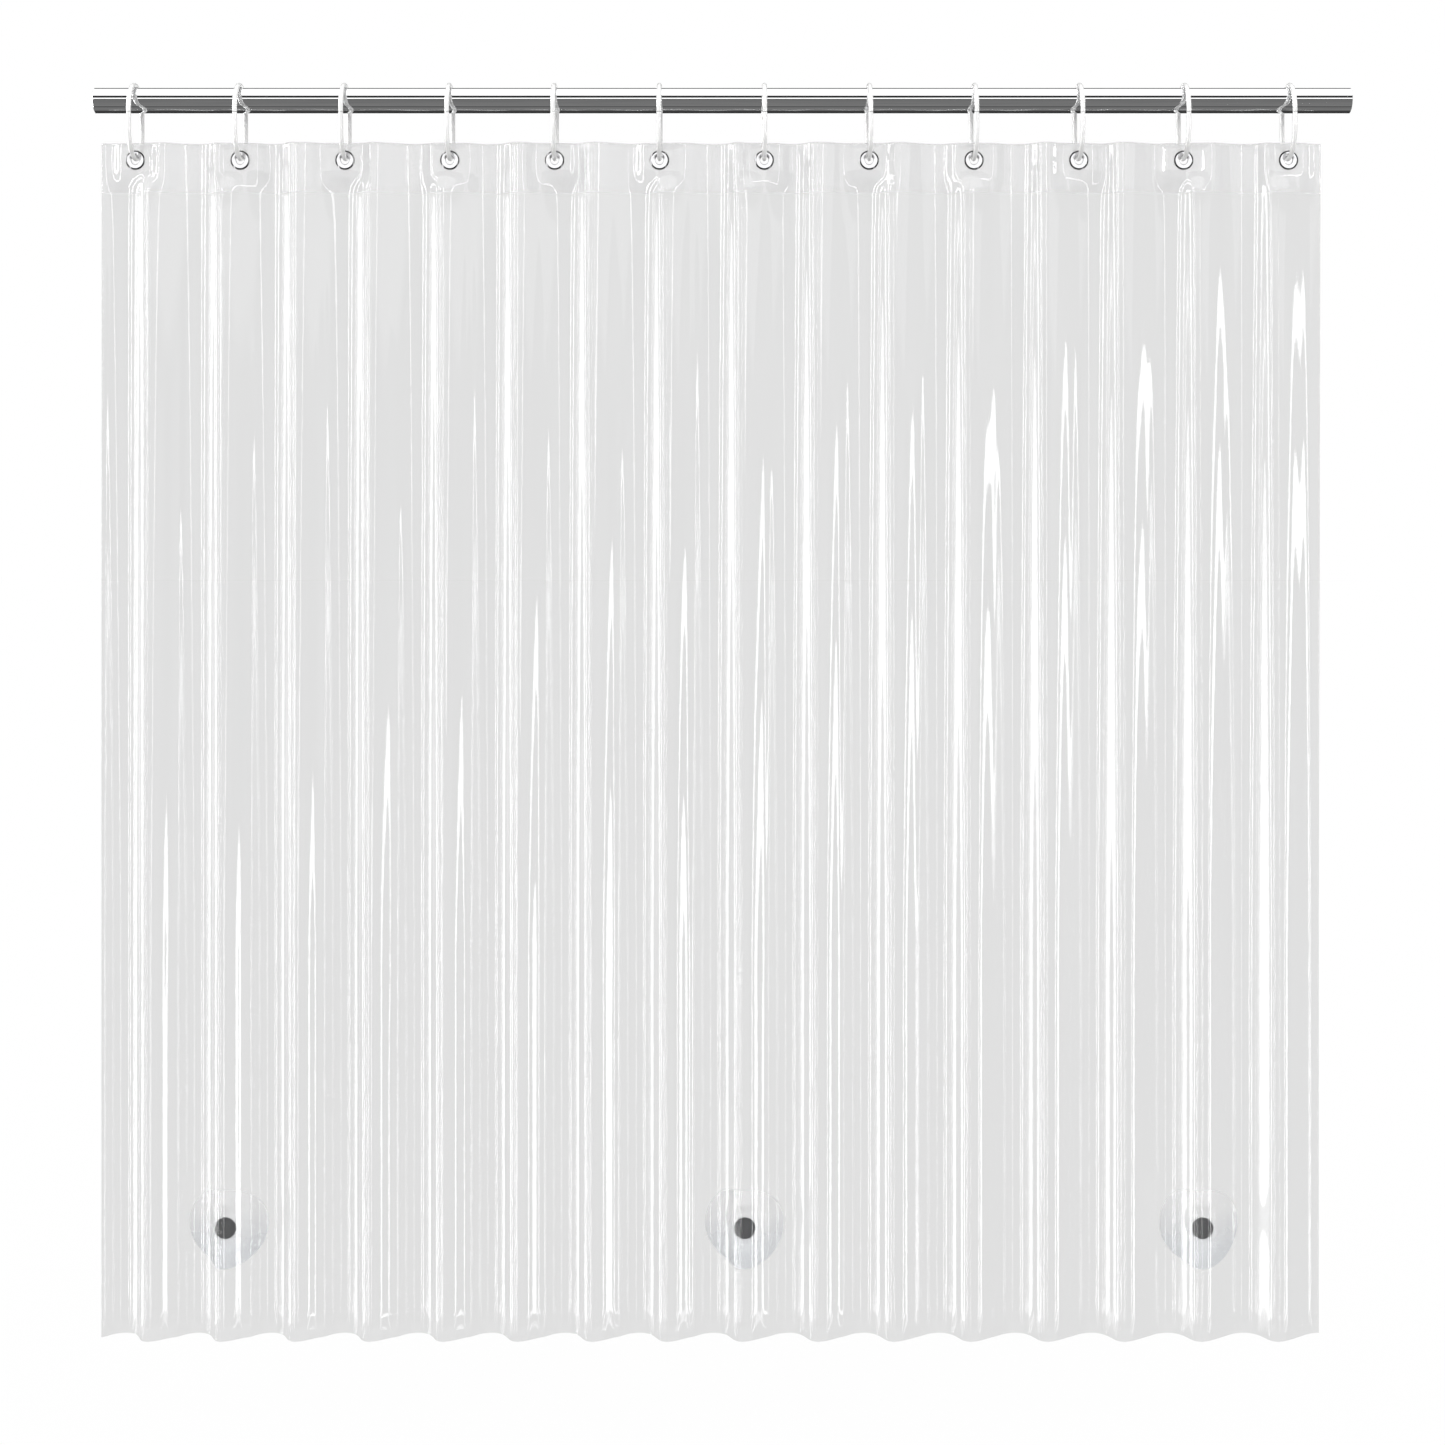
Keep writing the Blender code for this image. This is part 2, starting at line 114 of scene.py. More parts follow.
# Ripples: height, length along the film, phase, and how many turns the phase drifts down the film.
RIPPLES = (
    (0.00012, 0.0410, 0.10, 0.06),
    (0.00006, 0.0273, 0.45, -0.05),
    (0.00003, 0.0178, 0.80, 0.04),
)
RIPPLES_PER_BEAT = 3.7

# Mesh spacing: columns are closer at the creases and side folds, rows closer near the top.
SURVEY_POINTS = 20000
COLUMN_SPACING = 0.0029
FOLD_SPACING = 0.0020
FOLD_ZONE = 1.6 * SIDE_FOLD_WIDTH
CREASE_SPACING = 0.0007
CREASE_ZONE = 2.2 * CREASE_WIDTH
HANGING_ROWS = 0.045
UNDER_EYELET_ROWS = 0.012
EYELET_ROWS = 0.0045
HOLE_CLEARED = 0.9
HOLE_REACH = 2


def fade(distance, flat, length):
    """1 up to flat, then an even fall to 0 over length."""
    past = np.clip((np.abs(distance) - flat) / length, 0.0, 1.0)
    return (1.0 + np.cos(math.pi * past)) / 2


def fold_lead(pleats):
    """How far the pleat runs ahead of an even wave: it turns fast at the fold before its crest."""
    turn = math.tau * (pleats + FOLD_BEFORE_CREST)
    across = FOLD_SHARPNESS * np.sin(turn)
    return FOLD_SHARE * np.arctan2(across, 1.0 - FOLD_SHARPNESS * np.cos(turn)) / math.pi


def even_pleats(along):
    """Pleats from the first crest to a distance from the left edge, if they turned evenly."""
    span = SHEET_WIDTH - 2 * DRIFT_FROM_SIDE
    drift = PLEAT_DRIFT * np.sin(math.pi * (along - DRIFT_FROM_SIDE) / span)
    return (along + drift - FIRST_CREST) / PLEAT_PITCH


def pleats_before(along):
    """Pleats counted from the first crest, with the lead that the fold gives them."""
    even = even_pleats(along)
    return even + fold_lead(even) - fold_lead(np.zeros(1))[0]


def pleat_depth(z):
    """Pleats deepen evenly from the top edge down to their full depth."""
    grown = np.clip((TOP_EDGE_Z - z) / PLEAT_GROWTH_HEIGHT, 0.0, 1.0)
    return PLEAT_DEPTH_TOP + (PLEAT_DEPTH_HEM - PLEAT_DEPTH_TOP) * grown


def gripped(x, z):
    """1 where an eyelet grips the film flat, 0 away from them."""
    held = np.zeros(np.broadcast(x, z).shape)
    for eyelet_x in EYELET_XS:
        across = fade(x - eyelet_x, FLAT_ROUND_EYELET, FLAT_FADE)
        held = np.maximum(held, across * fade(z - EYELET_Z, FLAT_ROUND_EYELET, FLAT_FADE))
    return held


def ripple(x, z):
    """Fine standing ripples, smoothed away round the magnets, where the film is drawn tight."""
    down = (TOP_EDGE_Z - z) / (TOP_EDGE_Z - HEM_Z)
    height = np.zeros(np.broadcast(x, z).shape)
    for size, length, phase, drift in RIPPLES:
        turns = (x - LEFT_EDGE_X) / length + phase + drift * down
        beat = np.sin(math.tau * turns / RIPPLES_PER_BEAT + phase)
        height = height + size * np.sin(math.tau * turns) * beat
    for magnet_x in MAGNET_XS.values():
        away = np.hypot(x - magnet_x, z - MAGNET_Z)
        height = height * (1.0 - fade(away, SMOOTH_ROUND_MAGNET, SMOOTH_FADE))
    return height


def past_line(x, share):
    """Distance from the nearest line a share of a pleat past its crest, and that pleat's number."""
    pleats = even_pleats(x - LEFT_EDGE_X) - share
    return (pleats - np.round(pleats)) * PLEAT_PITCH, np.round(pleats)


def crest_crease(x, z):
    """The narrow pressed ridge that runs down each crest."""
    away, _ = past_line(x, CREASE_PAST_CREST)
    return -CREASE_HEIGHT * np.exp(-((away / CREASE_WIDTH) ** 2)) + 0 * z


def side_fold(x, z):
    """A shallow fold on each pleat's long side: it opens part-way down and widens to the hem."""
    away, pleat = past_line(x, SIDE_FOLD_PAST_CREST)
    unevenness = np.sin(SIDE_FOLD_START_TURN * pleat + SIDE_FOLD_START_PHASE)
    starts = TOP_EDGE_Z - SIDE_FOLD_START * (1.0 + SIDE_FOLD_START_SPREAD * unevenness)
    grown = np.clip((starts - z) / SIDE_FOLD_GROWTH, 0.0, 1.0)
    width = SIDE_FOLD_WIDTH * (SIDE_FOLD_NARROWEST + SIDE_FOLD_WIDENING * grown)
    from_left = (x - LEFT_EDGE_X) / SHEET_WIDTH
    change = SIDE_FOLD_AT_RIGHT_EDGE - SIDE_FOLD_AT_LEFT_EDGE
    steepness = SIDE_FOLD_AT_LEFT_EDGE + change * from_left
    return -steepness * width * grown**SIDE_FOLD_OPENING * np.exp(-((away / width) ** 2))


def film_y(x, z):
    """Depth of the sheet's middle at a place across and up."""
    wave = -np.cos(math.tau * pleats_before(x - LEFT_EDGE_X)) * pleat_depth(z) / 2
    fine = ripple(x, z) + crest_crease(x, z) + side_fold(x, z)
    return (wave + fine) * (1.0 - gripped(x, z))


def film_columns(left, right, z):
    """Places across the film, evenly spaced along its surface, and closer at creases and folds."""
    fine = np.linspace(left, right, SURVEY_POINTS)
    steps = np.hypot(np.diff(fine), np.diff(film_y(fine, np.full(fine.shape, z))))
    from_crease, _ = past_line(fine[:-1], CREASE_PAST_CREST)
    from_fold, _ = past_line(fine[:-1], SIDE_FOLD_PAST_CREST)
    spacing = np.where(np.abs(from_fold) < FOLD_ZONE, FOLD_SPACING, COLUMN_SPACING)
    spacing = np.where(np.abs(from_crease) < CREASE_ZONE, CREASE_SPACING, spacing)
    steps = steps / spacing
    run = np.concatenate([[0.0], np.cumsum(steps)])
    return np.interp(np.linspace(0.0, run[-1], int(round(run[-1])) + 1), run, fine)


def stepped(*stops):
    """Heights through (height, spacing to the next) stops, evenly stepped between them."""
    heights = []
    for (start, spacing), (end, _) in zip(stops, stops[1:]):
        count = max(1, int(round(abs(end - start) / spacing)))
        heights += list(np.linspace(start, end, count, endpoint=False))
    return np.array(heights + [stops[-1][0]])


def add_piece(name, mesh, material):
    """A smooth shaded piece in the scene."""
    piece = bpy.data.objects.new(name, mesh)
    bpy.context.scene.collection.objects.link(piece)
    mesh.materials.append(material)
    mesh.shade_smooth()
    return piece


def film_grid(name, xs, zs, depths, holes=()):
    """A grid of film facing forwards, with round holes cut at (x, z, radius) places."""
    count = len(zs)
    points = [(x, depths[i, j], z) for i, x in enumerate(xs) for j, z in enumerate(zs)]
    faces = []
    for i in range(len(xs) - 1):
        for j in range(count - 1):
            corner = i * count + j
            faces.append((corner, corner + count, corner + count + 1, corner + 1))
    mesh = bpy.data.meshes.new(name)
    mesh.from_pydata(points, [], faces)
    shape = bmesh.new()
    shape.from_mesh(mesh)
    for hole_x, hole_z, radius in holes:
        near = []
        for vertex in shape.verts:
            if math.hypot(vertex.co.x - hole_x, vertex.co.z - hole_z) < radius * HOLE_CLEARED:
                near.append(vertex)
        bmesh.ops.delete(shape, geom=near, context="VERTS")
        for vertex in [v for v in shape.verts if v.is_boundary]:
            away = math.hypot(vertex.co.x - hole_x, vertex.co.z - hole_z)
            if away < radius * HOLE_REACH:
                vertex.co.x = hole_x + (vertex.co.x - hole_x) * radius / away
                vertex.co.z = hole_z + (vertex.co.z - hole_z) * radius / away
    shape.to_mesh(mesh)
    shape.free()
    return mesh


def film_thickness(piece):
    """Both faces of the film lie half its thickness from the modelled surface."""
    film = piece.modifiers.new("film", "SOLIDIFY")
    film.thickness = FILM_THICKNESS
    film.offset = 0.0


def new_material(name):
    """A material with its Principled shader, and a call that adds a node to it."""
    material = bpy.data.materials.new(name)
    material.use_nodes = True
    tree = material.node_tree
    shader = tree.nodes["Principled BSDF"]

    def add(kind, **inputs):
        node = tree.nodes.new(kind)
        for socket, value in inputs.items():
            node.inputs[socket.replace("_", " ")].default_value = value
        return node

    return material, tree, shader, add


def stretched_noise(tree, add, stretch, scale, detail=3.0):
    """Noise in the piece's own metres, drawn out along the axes where stretch is small."""
    place = add("ShaderNodeTexCoord")
    mapping = add("ShaderNodeMapping", Scale=stretch)
    noise = add("ShaderNodeTexNoise", Scale=scale, Detail=detail, Roughness=0.55)
    tree.links.new(place.outputs["Object"], mapping.inputs["Vector"])
    tree.links.new(mapping.outputs["Vector"], noise.inputs["Vector"])
    return noise


def ramp_between(tree, add, source, low, high, colours):
    """A colour ramp over source, from colours[0] at low to colours[1] at high."""
    ramp = add("ShaderNodeValToRGB")
    ramp.color_ramp.elements[0].position = low
    ramp.color_ramp.elements[1].position = high
    for element, colour in zip(ramp.color_ramp.elements, colours):
        element.color = (*colour, 1.0)
    tree.links.new(source, ramp.inputs["Fac"])
    return ramp


def roughness_between(tree, add, shader, source, low, high):
    """Roughness that follows source from low to high."""
    spread = add("ShaderNodeMapRange", To_Min=low, To_Max=high)
    tree.links.new(source, spread.inputs["Value"])
    tree.links.new(spread.outputs["Result"], shader.inputs["Roughness"])


def bump_from(tree, add, shader, source, strength, height):
    """Fine relief on the surface that follows source."""
    bump = add("ShaderNodeBump", Strength=strength, Distance=height)
    tree.links.new(source, bump.inputs["Height"])
    tree.links.new(bump.outputs["Normal"], shader.inputs["Normal"])


def film_material(name, alpha, dark, light, roughness, draw_lines):
    """Clear film: faint upright draw lines in its tint, its gloss and its surface."""
    material, tree, shader, add = new_material(name)
    shader.inputs["Alpha"].default_value = alpha
    shader.inputs["IOR"].default_value = 1.53
    shader.inputs["Specular IOR Level"].default_value = 0.9
    lines = stretched_noise(tree, add, stretch=(1.0, 0.0, 0.003), scale=210.0, detail=2.0)
    tint = ramp_between(tree, add, lines.outputs["Fac"], low=0.35, high=0.68, colours=(dark, light))
    tree.links.new(tint.outputs["Color"], shader.inputs["Base Color"])
    clouds = stretched_noise(tree, add, stretch=(1.0, 0.0, 0.02), scale=26.0)
    roughness_between(tree, add, shader, clouds.outputs["Fac"], *roughness)
    bump_from(tree, add, shader, lines.outputs["Fac"], strength=draw_lines, height=0.0002)
    return material


clear_film = film_material(
    "clear_film",
    alpha=0.165,
    dark=(0.098, 0.099, 0.100),
    light=(0.158, 0.159, 0.160),
    roughness=(0.020, 0.050),
    draw_lines=0.03,
)
HEADER_LOW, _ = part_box("header_band")
sheet_columns = film_columns(LEFT_EDGE_X, SHEET_HIGH.x, HEM_Z)
sheet_rows = stepped(
    (HEM_Z, HANGING_ROWS),
    (TOP_EDGE_Z - PLEAT_GROWTH_HEIGHT, HANGING_ROWS),
    (HEADER_LOW.z, UNDER_EYELET_ROWS),
    (EYELET_Z - FLAT_ROUND_EYELET, EYELET_ROWS),
    (EYELET_Z + FLAT_ROUND_EYELET, EYELET_ROWS),
    (TOP_EDGE_Z, EYELET_ROWS),
)
FILM_HOLES = [(x, EYELET_Z, EYELET_HOLE_IN_FILM) for x in EYELET_XS]
across, up = np.meshgrid(sheet_columns, sheet_rows, indexing="ij")
sheet_mesh = film_grid("film_sheet", sheet_columns, sheet_rows, film_y(across, up), FILM_HOLES)
sheet = add_piece("film_sheet", sheet_mesh, clear_film)
film_thickness(sheet)
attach(sheet, "curtain")
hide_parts("curtain_sheet")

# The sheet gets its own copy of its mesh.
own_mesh(sheet)


# ---------------------------------------------------------------- header band
# A strip of milkier film that doubles the top of the sheet, so that the eyelets don't tear out.
# It is welded to the sheet along its wavy lower edge by a heated wheel, which leaves a raised
# bead with fine cross ribs, and it is trimmed with the sheet along the top.

HEADER_OFFSET = 0.00085
BEAD_HEIGHT = 0.0035
BEAD_RISE = 0.0005
BEAD_ROWS = 0.0009
ABOVE_BEAD_ROWS = 0.008

header_film, tree, shader, add = new_material("header_film")
shader.inputs["Alpha"].default_value = 0.30
shader.inputs["IOR"].default_value = 1.53
milk = stretched_noise(tree, add, stretch=(1.0, 1.0, 0.08), scale=120.0, detail=4.0)
milks = ((0.93, 0.93, 0.932), (0.98, 0.98, 0.98))
milky = ramp_between(tree, add, milk.outputs["Fac"], low=0.3, high=0.7, colours=milks)
tree.links.new(milky.outputs["Color"], shader.inputs["Base Color"])
roughness_between(tree, add, shader, milk.outputs["Fac"], low=0.12, high=0.26)
ribs = stretched_noise(tree, add, stretch=(6.0, 1.0, 0.5), scale=300.0, detail=2.0)
bump_from(tree, add, shader, ribs.outputs["Fac"], strength=0.2, height=0.0002)

header_rows = stepped(
    (HEADER_LOW.z, BEAD_ROWS),
    (HEADER_LOW.z + BEAD_HEIGHT, ABOVE_BEAD_ROWS),
    (EYELET_Z - FLAT_ROUND_EYELET, EYELET_ROWS),
    (EYELET_Z + FLAT_ROUND_EYELET, EYELET_ROWS),
    (TOP_EDGE_Z, EYELET_ROWS),
)
across, up = np.meshgrid(sheet_columns, header_rows, indexing="ij")
above_edge = np.clip((up - HEADER_LOW.z) / BEAD_HEIGHT, 0.0, 1.0)
bead = BEAD_RISE * np.sin(math.pi * above_edge)
header_depths = film_y(across, up) + HEADER_OFFSET + bead
header = add_piece(
    "header_strip",
    film_grid("header_strip", sheet_columns, header_rows, header_depths, FILM_HOLES),
    header_film,
)
film_thickness(header)
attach(header, "curtain")
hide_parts("header_band")
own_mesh(header)


# ---------------------------------------------------------------- eyelets and washers
# Twelve pressed eyelets of plated brass. A flange with a rounded rim lies on the front of the
# film, its barrel goes through sheet and header, and its end is rolled out over a flat washer.

EYELET_SIDES = 72
BORE_RADIUS = 0.00625
BARREL_WALL = 0.0006
FLANGE_THICKNESS = 0.0008
RIM_WIDTH = 0.0022
LIP_WIDTH = 0.00165
LIP_THICKNESS = 0.0006
FLANGE_TO_FILM = 0.0003
BORE_ROUND = 0.00055
FLANGE_ROUND = 0.0008
RIM_EDGE = 0.0002
RIM_EDGE_ROUND = 0.0001
LIP_ROUND = 0.00025
BORE_END_ROUND = 0.0005
WASHER_ROUND_BARREL = 0.0003
WASHER_ROUND = 0.0002
PROFILE_ARC_STEPS = 6

# Painted shade on the eyelet metal by how squarely it faces front or back: (facing, share of its
# colour).
# The painted shade stands in for the dark reflection of the eyelet's sloping rim.
PAINTED_RIM_SHADE_BY_FACING = ((0.0, 1.0), (0.30, 1.0), (0.50, 0.12), (0.975, 0.12), (0.990, 1.0), (1.0, 1.0))


def turned_mesh(name, profile, sides, centre, axis):
    """A closed outline of (radius, along) corners turned about an axis through centre, X or Y."""
    rings = []
    for step in range(sides):
        angle = math.tau * step / sides
        for radius, along in profile:
            first, second = radius * math.cos(angle), radius * math.sin(angle)
            if axis == "Y":
                rings.append((centre[0] + first, centre[1] + along, centre[2] + second))
            else:
                rings.append((centre[0] + along, centre[1] + first, centre[2] + second))
    count = len(profile)
    faces = []
    for step in range(sides):
        here, there = step * count, (step + 1) % sides * count
        for i in range(count):
            j = (i + 1) % count
            faces.append((here + i, here + j, there + j, there + i))
    mesh = bpy.data.meshes.new(name)
    mesh.from_pydata(rings, [], faces)
    shape = bmesh.new()
    shape.from_mesh(mesh)
    bmesh.ops.remove_doubles(shape, verts=shape.verts, dist=1e-7)
    bmesh.ops.recalc_face_normals(shape, faces=shape.faces)
    shape.to_mesh(mesh)
    shape.free()
    return mesh


def rounded(corners):
    """An outline of (across, along, radius) corners with each corner rounded to its radius."""
    outline = []
    for i, (x, y, radius) in enumerate(corners):
        if radius == 0:
            outline.append((x, y))
            continue
        here = np.array((x, y))
        before = np.array(corners[i - 1][:2]) - here
        after = np.array(corners[(i + 1) % len(corners)][:2]) - here
        before, after = before / np.linalg.norm(before), after / np.linalg.norm(after)
        half = math.acos(np.clip(before @ after, -1.0, 1.0)) / 2
        reach = radius / math.tan(half)
        middle = here + (before + after) / np.linalg.norm(before + after) * radius / math.sin(half)
        start, end = here + before * reach - middle, here + after * reach - middle
        for step in range(PROFILE_ARC_STEPS + 1):
            share = step / PROFILE_ARC_STEPS
            spread = math.pi - 2 * half
            weight = np.array((math.sin((1 - share) * spread), math.sin(share * spread)))
            point = middle + (start * weight[0] + end * weight[1]) / math.sin(spread)
            outline.append((float(point[0]), float(point[1])))
    return outline


def metal_material(name, dark, light, roughness, grain, grain_scale, brushing):
    """Bright metal with a faint drift of colour and gloss, and fine polishing lines."""
    material, tree, shader, add = new_material(name)
    shader.inputs["Metallic"].default_value = 1.0
    drift = stretched_noise(tree, add, grain, grain_scale, detail=5.0)
    tint = ramp_between(tree, add, drift.outputs["Fac"], low=0.3, high=0.7, colours=(dark, light))
    tree.links.new(tint.outputs["Color"], shader.inputs["Base Color"])
    roughness_between(tree, add, shader, drift.outputs["Fac"], *roughness)
    bump_from(tree, add, shader, drift.outputs["Fac"], strength=brushing, height=0.00004)
    return material


def paint_rim_shade(metal):
    """Paints shade into the eyelet metal's colour where its rim slopes, by how squarely it faces
    the front; it stands in for the rim's dark reflection.
    """
    tree = metal.node_tree
    shader = tree.nodes["Principled BSDF"]
    plating = shader.inputs["Base Color"].links[0].from_socket
    facing = tree.nodes.new("ShaderNodeTexCoord").outputs["Normal"]
    parts = tree.nodes.new("ShaderNodeSeparateXYZ")
    tree.links.new(facing, parts.inputs[0])
    squarely = tree.nodes.new("ShaderNodeMath")
    squarely.operation = "ABSOLUTE"
    tree.links.new(parts.outputs["Y"], squarely.inputs[0])
    shade = tree.nodes.new("ShaderNodeValToRGB")
    for position, _ in PAINTED_RIM_SHADE_BY_FACING[1:-1]:
        shade.color_ramp.elements.new(position)
    for element, (_, level) in zip(shade.color_ramp.elements, PAINTED_RIM_SHADE_BY_FACING):
        element.color = (level, level, level, 1.0)
    tree.links.new(squarely.outputs[0], shade.inputs["Fac"])
    rim_with_painted_shade = tree.nodes.new("ShaderNodeMix")
    rim_with_painted_shade.data_type = "RGBA"
    rim_with_painted_shade.blend_type = "MULTIPLY"
    rim_with_painted_shade.inputs["Factor"].default_value = 1.0
    tree.links.new(plating, rim_with_painted_shade.inputs["A"])
    tree.links.new(shade.outputs["Color"], rim_with_painted_shade.inputs["B"])
    tree.links.new(rim_with_painted_shade.outputs["Result"], shader.inputs["Base Color"])


eyelet_metal = metal_material(
    "plated_eyelet",
    dark=(0.60, 0.60, 0.61),
    light=(0.68, 0.68, 0.69),
    roughness=(0.05, 0.12),
    grain=(1, 1, 1),
    grain_scale=900.0,
    brushing=0.1,
)
# The eyelet's sloping rim gets painted shade, a stand-in for the dark reflection it shows.
paint_rim_shade(eyelet_metal)
washer_metal = metal_material(
    "plated_washer",
    dark=(0.52, 0.52, 0.53),
    light=(0.70, 0.70, 0.70),
    roughness=(0.16, 0.30),
    grain=(1, 1, 1),
    grain_scale=700.0,
    brushing=0.4,
)

flange_back = -(FILM_THICKNESS / 2 + FLANGE_TO_FILM)
flange_front = flange_back - FLANGE_THICKNESS
washer_low, washer_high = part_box("grommet_washer_01")
washer_radius = (washer_high.z - washer_low.z) / 2
lip_back = EYELETS[0][1].y
lip_front = lip_back - LIP_THICKNESS
barrel = BORE_RADIUS + BARREL_WALL
washer_bore = barrel + WASHER_ROUND_BARREL
eyelet_outline = rounded(
    [
        (BORE_RADIUS, flange_front, BORE_ROUND),
        (FLANGE_RADIUS - RIM_WIDTH, flange_front, FLANGE_ROUND),
        (FLANGE_RADIUS, flange_back - RIM_EDGE, RIM_EDGE_ROUND),
        (FLANGE_RADIUS, flange_back, 0),
        (barrel, flange_back, 0),
        (barrel, lip_front, 0),
        (barrel + LIP_WIDTH, lip_front, LIP_ROUND),
        (barrel + LIP_WIDTH, lip_back, LIP_ROUND),
        (BORE_RADIUS, lip_back, BORE_END_ROUND),
    ]
)
washer_outline = rounded(
    [
        (washer_bore, washer_low.y, 0),
        (washer_radius, washer_low.y, WASHER_ROUND),
        (washer_radius, washer_high.y, WASHER_ROUND),
        (washer_bore, washer_high.y, 0),
    ]
)
HANGER_BODIES = ["curtain"] + [f"hanger_{number:02d}" for number in range(2, RING_COUNT + 1)]
for number, (x, body) in enumerate(zip(EYELET_XS, HANGER_BODIES), start=1):
    label = f"{number:02d}"
    centre = (x, 0.0, EYELET_Z)
    for piece_name, outline, material, node, slot in (
        ("eyelet", eyelet_outline, eyelet_metal, "grommet_eyelet", "eyelet_metal"),
        ("eyelet_washer", washer_outline, washer_metal, "grommet_washer", "washer_metal"),
    ):
        name = f"{piece_name}_{label}"
        mesh = turned_mesh(name, outline, EYELET_SIDES, centre, "Y")
        turned = add_piece(name, mesh, material)
        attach(turned, body)
        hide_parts(f"{node}_{label}")


# ---------------------------------------------------------------- hem magnets
# Three sintered ferrite discs that hold the hem to the tub. They are pressed from powder, so
# they are near black and matt, with a fine speckle and a small broken edge.

MAGNET_SIDES = 96
MAGNET_CHAMFER = 0.0004

ferrite, tree, shader, add = new_material("ferrite")
speckle = stretched_noise(tree, add, stretch=(1, 1, 1), scale=2600.0, detail=6.0)
blacks = ((0.018, 0.018, 0.020), (0.052, 0.052, 0.055))
powder = ramp_between(tree, add, speckle.outputs["Fac"], low=0.40, high=0.72, colours=blacks)
tree.links.new(powder.outputs["Color"], shader.inputs["Base Color"])
roughness_between(tree, add, shader, speckle.outputs["Fac"], low=0.45, high=0.70)
bump_from(tree, add, shader, speckle.outputs["Fac"], strength=0.5, height=0.0001)

for side in SIDES:
    low, high = MAGNET_BOXES[side]
    outline = rounded(
        [
            (0.0, low.y, 0),
            (MAGNET_RADIUS, low.y, MAGNET_CHAMFER),
            (MAGNET_RADIUS, high.y, MAGNET_CHAMFER),
            (0.0, high.y, 0),
        ]
    )
    name = f"magnet_{side}"
    centre = (MAGNET_XS[side], 0.0, MAGNET_Z)
    magnet = add_piece(name, turned_mesh(name, outline, MAGNET_SIDES, centre, "Y"), ferrite)
    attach(magnet, f"magnet_{side}")
    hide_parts(f"hem_magnet_{side}")


# ---------------------------------------------------------------- magnet pockets
# Each magnet lies in a pocket: a round patch of hazy film behind the sheet, heat sealed to it
# all round with a smooth rolled rim. The patch follows the pleat and bulges back over the magnet.
# Its colour goes grey-blue towards its foot: painted shade for the darker refraction there.

POCKET_OFFSET = 0.00125
ROOM_PAST_MAGNET = 0.002
POCKET_BLEND = 0.022
RIM_SEAL = 0.0022
RIM_RISE = 0.0005
MAGNET_TO_POCKET = 0.0003
POCKET_SIDES = 144
POCKET_RINGS = 34
RINGS_CLOSE_UP = 0.92
PAINTED_SHADE_REACH = 0.7
HAZE_IN_PAINTED_SHADE = 0.4

pocket_film, tree, shader, add = new_material("pocket_film")
shader.inputs["Alpha"].default_value = 0.30
shader.inputs["IOR"].default_value = 1.53
haze = stretched_noise(tree, add, stretch=(1.0, 1.0, 0.5), scale=60.0, detail=4.0)
place = tree.nodes.new("ShaderNodeSeparateXYZ")
tree.links.new(tree.nodes.new("ShaderNodeTexCoord").outputs["Object"], place.inputs[0])
# Painted shade: the pocket's colour turns grey-blue from its middle down to its foot.
painted_shade_low = MAGNET_Z - PAINTED_SHADE_REACH * POCKET_RADIUS
painted_shade_high = MAGNET_Z + PAINTED_SHADE_REACH * POCKET_RADIUS
height_up = add("ShaderNodeMapRange", From_Min=painted_shade_low, From_Max=painted_shade_high)
tree.links.new(place.outputs["Z"], height_up.inputs["Value"])
uneven = tree.nodes.new("ShaderNodeMath")
uneven.operation = "MULTIPLY_ADD"
uneven.inputs[1].default_value = HAZE_IN_PAINTED_SHADE
tree.links.new(haze.outputs["Fac"], uneven.inputs[0])
tree.links.new(height_up.outputs["Result"], uneven.inputs[2])
# The foot colour is painted shade; the head colour is the film's milky white, with haze mixed in.
painted_foot_shade_and_head = ((0.70, 0.74, 0.78), (0.99, 0.99, 0.99))
haze_and_painted_shade = ramp_between(tree, add, uneven.outputs[0], low=0.25, high=1.15, colours=painted_foot_shade_and_head)
tree.links.new(haze_and_painted_shade.outputs["Color"], shader.inputs["Base Color"])
roughness_between(tree, add, shader, haze.outputs["Fac"], low=0.05, high=0.14)
bump_from(tree, add, shader, haze.outputs["Fac"], strength=0.3, height=0.0006)


def pocket_mesh(name, magnet_x, magnet_back):
    """A round patch that rests on the back of the sheet and is pushed clear of the magnet."""
    points = [(magnet_x, 0.0, MAGNET_Z)]
    faces = []
    radii = POCKET_RADIUS * np.linspace(0.0, 1.0, POCKET_RINGS + 1)[1:] ** RINGS_CLOSE_UP
    for ring, radius in enumerate(radii):
        for step in range(POCKET_SIDES):
            angle = math.tau * step / POCKET_SIDES
            points.append(
                (magnet_x + radius * math.cos(angle), 0.0, MAGNET_Z + radius * math.sin(angle))
            )
            here = 1 + ring * POCKET_SIDES + step
            beside = 1 + ring * POCKET_SIDES + (step + 1) % POCKET_SIDES
            if ring == 0:
                faces.append((0, here, beside))
            else:
                faces.append((here - POCKET_SIDES, here, beside, beside - POCKET_SIDES))
    places = np.array(points)
    resting = film_y(places[:, 0], places[:, 2]) + POCKET_OFFSET
    plane = magnet_back + MAGNET_TO_POCKET + FILM_THICKNESS
    over_magnet = fade(places[:, 2] - MAGNET_Z, MAGNET_RADIUS + ROOM_PAST_MAGNET, POCKET_BLEND)
    pushed = np.maximum(plane - resting, 0.0) * over_magnet
    away = np.hypot(places[:, 0] - magnet_x, places[:, 2] - MAGNET_Z)
    seal = np.clip((away - POCKET_RADIUS + RIM_SEAL) / RIM_SEAL, 0.0, 1.0)
    places[:, 1] = resting + pushed + RIM_RISE * np.sin(math.pi * seal)
    mesh = bpy.data.meshes.new(name)
    mesh.from_pydata(places.tolist(), [], faces)
    return mesh


